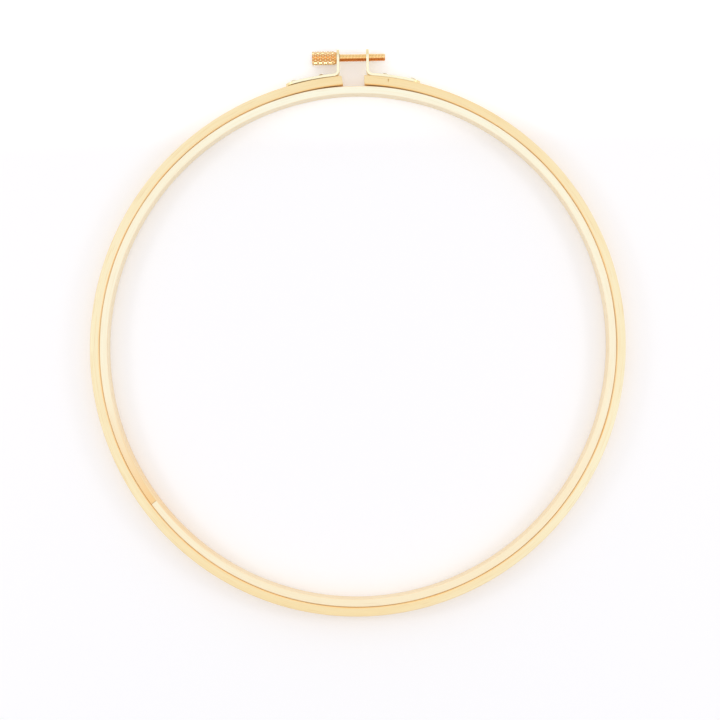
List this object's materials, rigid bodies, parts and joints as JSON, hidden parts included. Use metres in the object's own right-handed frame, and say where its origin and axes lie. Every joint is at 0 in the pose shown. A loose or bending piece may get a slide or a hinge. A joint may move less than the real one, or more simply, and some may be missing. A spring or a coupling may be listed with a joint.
{
  "type": "embroidery hoop",
  "caption": "Round bamboo embroidery hoop: a closed inner hoop inside a split outer hoop, whose ends are drawn together by a knurled brass thumb screw between two riveted brackets.",
  "frame": {"origin": "centre of the two hoops, half way up their height, on the inner hoop's axis", "axes": "+Z along the hoops' axis, up from the table; +Y from the centre to the split and the thumb screw; the screw's axis is along X with its knurled head towards -X"},
  "size_m": [0.261, 0.2748, 0.01],
  "materials": {
    "inner_bamboo": "sanded pale bamboo, satin",
    "outer_bamboo": "sanded pale bamboo, satin",
    "bracket_brass": "bright rolled brass",
    "rivet_brass": "bright headed brass",
    "screw_brass": "turned and knurled brass"
  },
  "bodies": {
    "outer": {"outer_hoop": "outer_bamboo", "right_bracket": "bracket_brass", "right_near_rivet": "rivet_brass", "right_far_rivet": "rivet_brass"},
    "left_clamp": {"left_bracket": "bracket_brass", "left_near_rivet": "rivet_brass", "left_far_rivet": "rivet_brass"},
    "screw": {"thumb_screw": "screw_brass"},
    "inner": {"inner_hoop": "inner_bamboo"}
  },
  "joints": [
    {"name": "hoop_spread", "type": "hinge", "parent": "outer", "child": "left_clamp", "pos_m": [0, -0.1283, 0], "axis": [0, 0, 1], "range_deg": [0, 0.7466], "deforming": ["outer_hoop"]},
    {"name": "screw_turn", "type": "hinge", "parent": "left_clamp", "child": "screw", "pos_m": [0, 0.1403, 0], "axis": [-1, 0, 0], "range_deg": [0, 1800]},
    {"name": "inner_hoop_lift", "type": "slide", "parent": "outer", "child": "inner", "axis": [0, 0, 1], "range_m": [0, 0.03]}
  ],
  "couplings": [
    {"joint": "screw_turn", "follows": "hoop_spread", "ratio": 2410.9}
  ]
}
